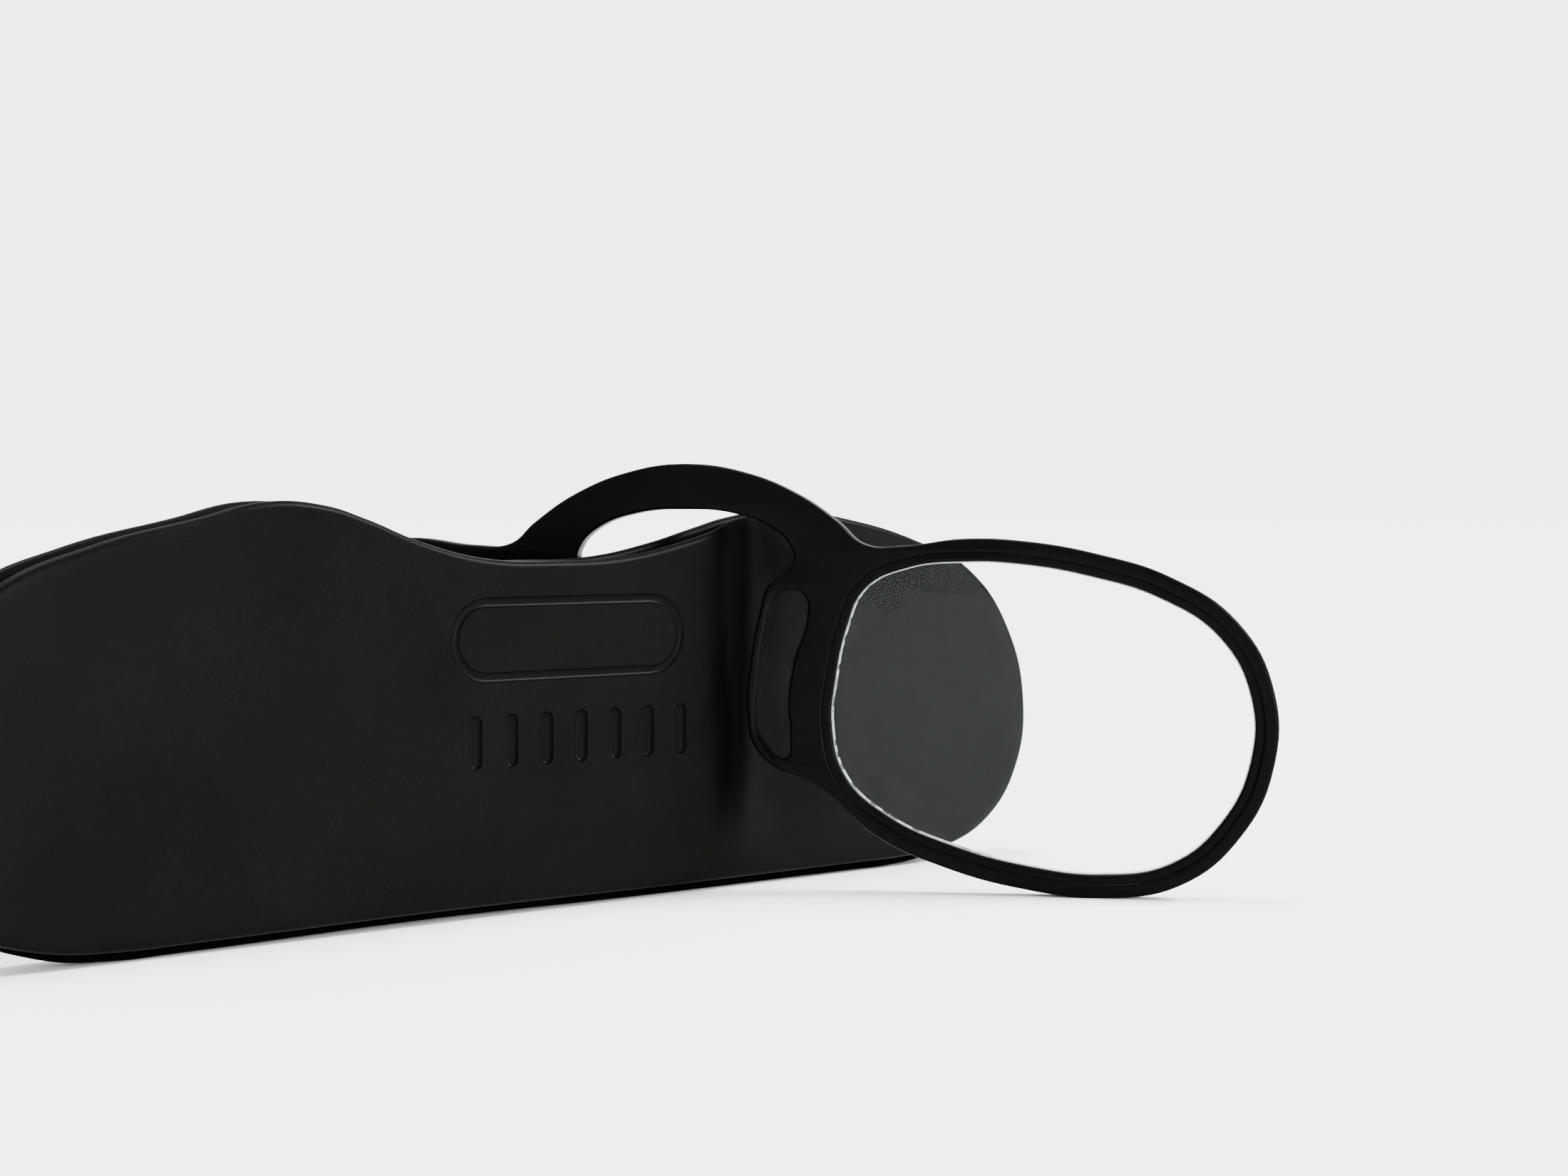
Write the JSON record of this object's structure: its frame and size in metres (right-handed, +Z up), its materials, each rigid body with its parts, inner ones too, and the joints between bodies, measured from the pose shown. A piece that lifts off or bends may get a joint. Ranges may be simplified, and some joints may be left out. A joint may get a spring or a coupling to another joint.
{
  "type": "reading glasses",
  "caption": "Flat nose-clip reading glasses with drooping oval lenses and a flexible arch bridge, standing astride their own slim sleeve case.",
  "frame": {"origin": "middle of the sleeve case's straight bottom edge, on the surface it stands on", "axes": "+X along the case, -Y out of its marked front wall, +Z up; the glasses stand across it, turned 50.4 degrees"},
  "size_m": [0.13, 0.0933, 0.0434],
  "materials": {
    "case_shell": "soft-touch matte, fine grain",
    "case_band": "matte",
    "frame": "fine matte",
    "nose_pad": "fine matte",
    "lens": "polished, coated"
  },
  "bodies": {
    "case": {"case_front_wall": "case_shell", "case_back_wall": "case_shell", "case_edge_band": "case_band"},
    "bridge": {"bridge_crown": "frame"},
    "right_side": {"right_rim": "frame", "right_lens": "lens"},
    "left_side": {"left_rim": "frame", "left_lens": "lens"},
    "right_pad": {"right_nose_pad": "nose_pad"},
    "left_pad": {"left_nose_pad": "nose_pad"}
  },
  "joints": [
    {"name": "glasses_lift", "type": "slide", "parent": "case", "child": "bridge", "axis": [0, 0, 1], "range_m": [0, 0.05]},
    {"name": "right_spread", "type": "hinge", "parent": "bridge", "child": "right_side", "pos_m": [0.02467, -0.00591, 0.04143], "axis": [-0.7705, -0.6374, 0], "range_deg": [0, 9], "stiffness_Nm_per_rad": 0.07},
    {"name": "left_spread", "type": "hinge", "parent": "bridge", "child": "left_side", "pos_m": [0.01333, 0.00781, 0.04143], "axis": [-0.7705, -0.6374, 0], "range_deg": [-9, 0], "stiffness_Nm_per_rad": 0.07},
    {"name": "right_pad_press", "type": "slide", "parent": "right_side", "child": "right_pad", "axis": [0.6374, -0.7705, 0], "range_m": [0, 0.0008], "stiffness_N_per_m": 150},
    {"name": "left_pad_press", "type": "slide", "parent": "left_side", "child": "left_pad", "axis": [-0.6374, 0.7705, 0], "range_m": [0, 0.0008], "stiffness_N_per_m": 150}
  ],
  "couplings": [
    {"joint": "left_spread", "follows": "right_spread", "ratio": -1}
  ]
}
